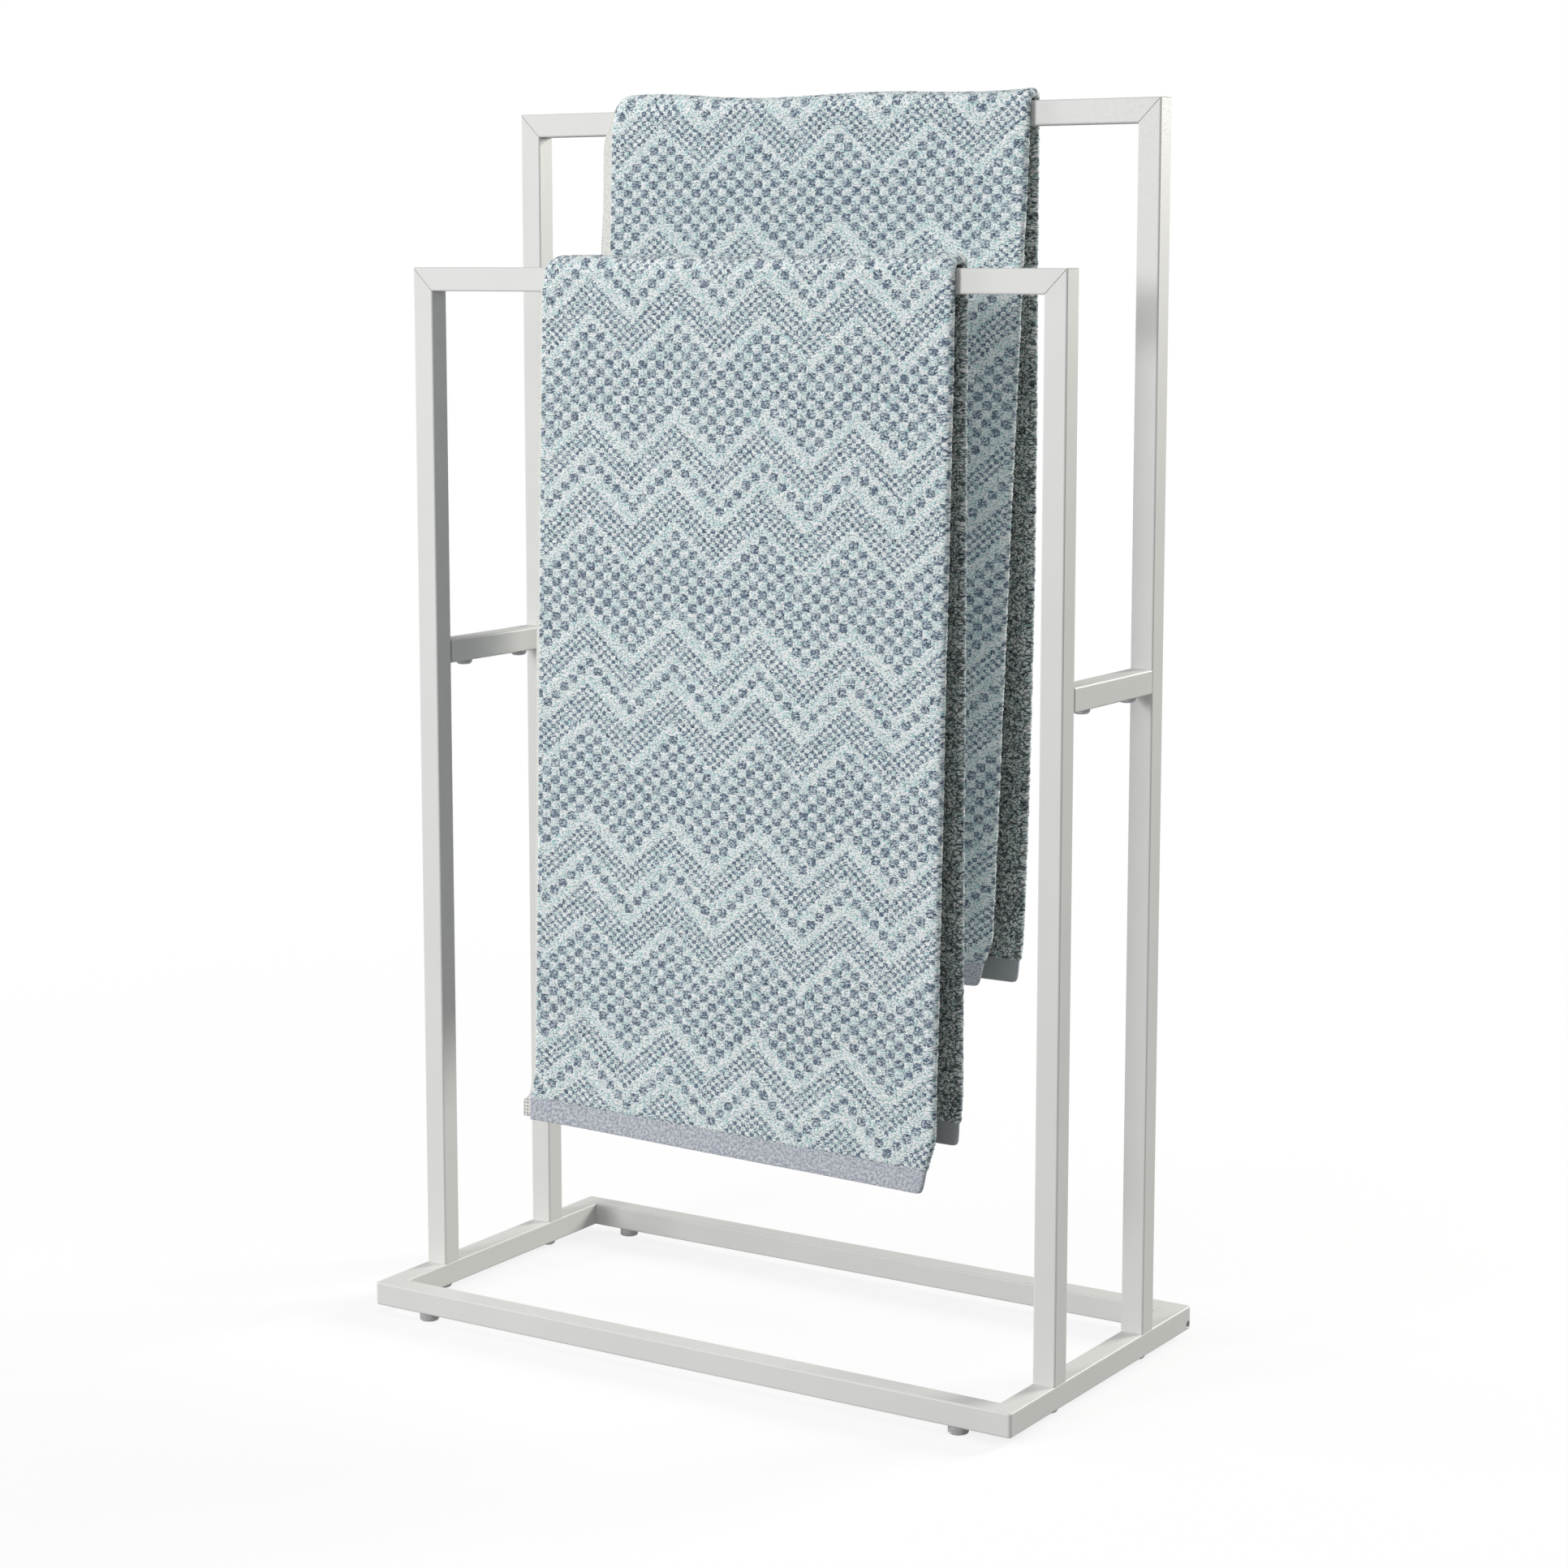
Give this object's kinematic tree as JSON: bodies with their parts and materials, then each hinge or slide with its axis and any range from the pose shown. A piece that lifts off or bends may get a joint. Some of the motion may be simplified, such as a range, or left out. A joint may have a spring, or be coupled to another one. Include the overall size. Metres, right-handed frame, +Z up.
{
  "type": "towel rack",
  "caption": "Free-standing towel rack of white square steel tube: rectangular base, a low front arch and a higher rear arch joined by side crossbars, with folded towels over the rails.",
  "frame": {"origin": "on the floor, below the centre of the base, which is also the bottom centre of the bounding box", "axes": "+X along the rails, +Y from the low front rail to the high rear rail, +Z up"},
  "size_m": [0.47, 0.24, 0.7829],
  "materials": {
    "white_powder_coat": "white powder coat, fine matt texture",
    "zinc_screws": "bright zinc-plated steel",
    "bare_steel": "plain turned and milled steel",
    "clear_plastic": "clear soft plastic",
    "terry_towel": "jacquard terry in pale mint and slate blue, with a flat woven hem"
  },
  "bodies": {
    "rack": {"base_front_bar": "white_powder_coat", "base_left_bar": "white_powder_coat", "base_rear_bar": "white_powder_coat", "base_right_bar": "white_powder_coat", "base_screws": "zinc_screws", "crossbar_screws": "zinc_screws", "front_left_crossbar_tongue": "bare_steel", "front_left_foot": "clear_plastic", "front_left_upright": "white_powder_coat", "front_left_upright_plug": "bare_steel", "front_right_crossbar_tongue": "bare_steel", "front_right_foot": "clear_plastic", "front_right_upright": "white_powder_coat", "front_right_upright_plug": "bare_steel", "front_top_rail": "white_powder_coat", "left_crossbar": "white_powder_coat", "rear_left_crossbar_tongue": "bare_steel", "rear_left_foot": "clear_plastic", "rear_left_upright": "white_powder_coat", "rear_left_upright_plug": "bare_steel", "rear_right_crossbar_tongue": "bare_steel", "rear_right_foot": "clear_plastic", "rear_right_upright": "white_powder_coat", "rear_right_upright_plug": "bare_steel", "rear_top_rail": "white_powder_coat", "right_crossbar": "white_powder_coat"},
    "front_towel_body": {"front_towel": "terry_towel"},
    "rear_towel_body": {"rear_towel": "terry_towel"}
  },
  "joints": [
    {"name": "front_towel_lift", "type": "slide", "parent": "rack", "child": "front_towel_body", "axis": [0, 0, 1], "range_m": [0, 0.56]},
    {"name": "rear_towel_lift", "type": "slide", "parent": "rack", "child": "rear_towel_body", "axis": [0, 0, 1], "range_m": [0, 0.56]}
  ]
}
